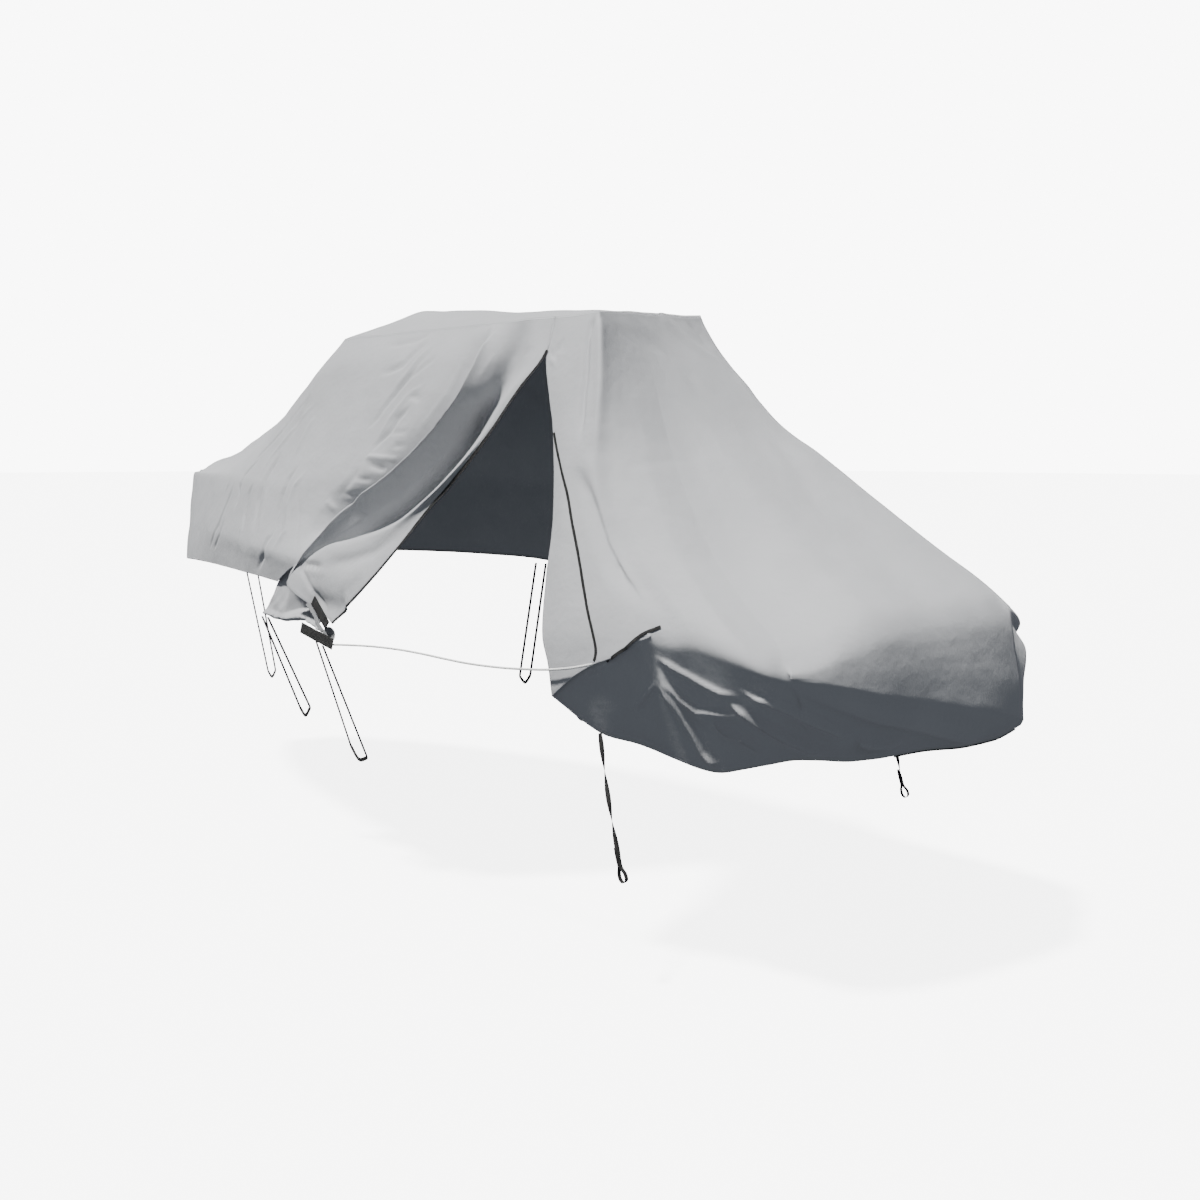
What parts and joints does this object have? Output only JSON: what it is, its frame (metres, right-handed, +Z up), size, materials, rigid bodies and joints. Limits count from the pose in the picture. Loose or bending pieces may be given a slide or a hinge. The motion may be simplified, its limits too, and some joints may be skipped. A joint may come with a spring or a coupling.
{
  "type": "fitted boat cover",
  "caption": "Fitted grey cloth cover for a tall boat on its trailer, with a zipped side doorway, hem rope and webbing tie-downs.",
  "frame": {"origin": "under the cloth at the middle of the roof, where the boat's hard top holds the cover up", "axes": "+X to the bow, +Y to port, +Z up; the ground that the trailer stands on lies 3.50 m below the origin"},
  "size_m": [7.5335, 2.62, 3.0082],
  "materials": {
    "cover_cloth": "matt light grey coated polyester, plain weave",
    "black_webbing": "matt black webbing",
    "zip_tape": "matt black zip tape with moulded teeth",
    "grey_disc": "matt dark grey",
    "white_rope": "white braided cord",
    "hem_elastic": "matt black covered elastic"
  },
  "bodies": {
    "root": {"roof_panel": "cover_cloth", "bow_slope_panel": "cover_cloth", "port_bow_upper": "cover_cloth", "port_bow_lower": "cover_cloth", "port_hem_gather": "cover_cloth", "door_flap_forward": "cover_cloth", "port_quarter_panel": "cover_cloth", "stern_slope_panel": "cover_cloth", "stern_face_panel": "cover_cloth", "stern_face_starboard": "cover_cloth", "stern_skirt_port": "cover_cloth", "starboard_bow_upper": "cover_cloth", "starboard_bow_lower": "cover_cloth", "starboard_side_aft": "cover_cloth", "starboard_skirt": "cover_cloth", "strap_port_mid": "black_webbing", "strap_port_forward": "black_webbing", "strap_port_aft": "black_webbing", "strap_starboard_bow": "black_webbing", "strap_starboard_mid": "black_webbing", "strap_starboard_forward": "black_webbing", "strap_starboard_aft": "black_webbing", "flap_tab_upper": "black_webbing", "flap_tab_lower": "black_webbing", "zip_end_tab": "black_webbing", "zip_tape_forward": "zip_tape", "zip_tape_aft": "zip_tape", "flap_disc": "grey_disc", "hem_rope": "white_rope", "stern_hem_edge": "hem_elastic"}
  },
  "joints": []
}
